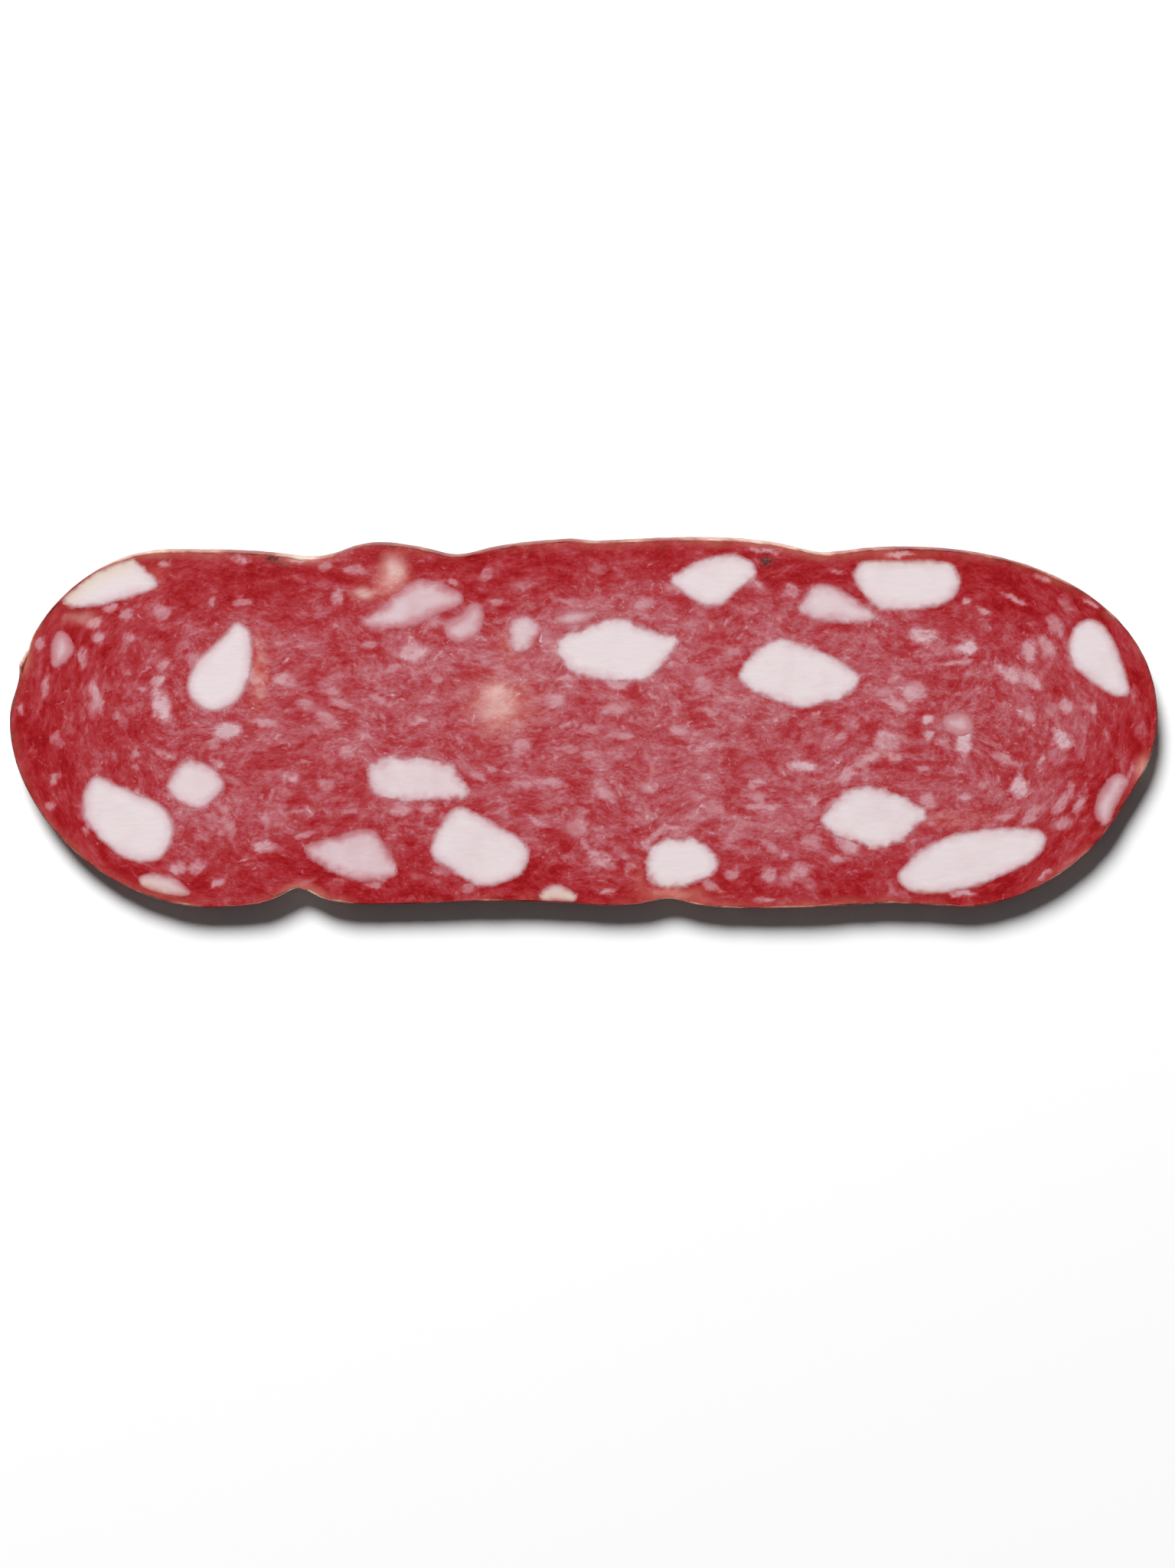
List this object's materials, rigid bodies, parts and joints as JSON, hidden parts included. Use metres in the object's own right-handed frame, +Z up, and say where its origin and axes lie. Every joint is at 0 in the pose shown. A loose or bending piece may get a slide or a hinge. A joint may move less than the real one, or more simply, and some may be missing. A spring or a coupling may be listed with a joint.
{
  "type": "cured sausage slice",
  "caption": "Thin flat slice of a pressed cured sausage: lean mince with dice of back fat and cracked pepper, inside a thin casing with string grooves.",
  "frame": {"origin": "middle of the slice's underside, which lies on the plate or board", "axes": "+X along the slice's length, +Y across its width towards the long side with the wider string grooves, +Z up through its thickness"},
  "size_m": [0.12, 0.039, 0.003],
  "materials": {
    "lean": "satin",
    "fat": "satin",
    "casing": "satin",
    "pepper": "matte"
  },
  "bodies": {
    "root": {"casing": "casing", "lean_mince": "lean", "fat_die_01": "fat", "fat_die_02": "fat", "fat_die_03": "fat", "fat_die_04": "fat", "fat_die_05": "fat", "fat_die_06": "fat", "fat_die_07": "fat", "fat_die_08": "fat", "fat_die_09": "fat", "fat_die_10": "fat", "fat_die_11": "fat", "fat_die_12": "fat", "fat_die_13": "fat", "fat_die_14": "fat", "fat_die_15": "fat", "fat_die_16": "fat", "fat_die_17": "fat", "fat_die_18": "fat", "fat_die_19": "fat", "fat_die_20": "fat", "fat_die_21": "fat", "fat_die_22": "fat", "fat_die_23": "fat", "fat_die_24": "fat", "fat_die_25": "fat", "fat_die_26": "fat", "fat_die_27": "fat", "pepper_chip_01": "pepper", "pepper_chip_02": "pepper"}
  },
  "joints": []
}
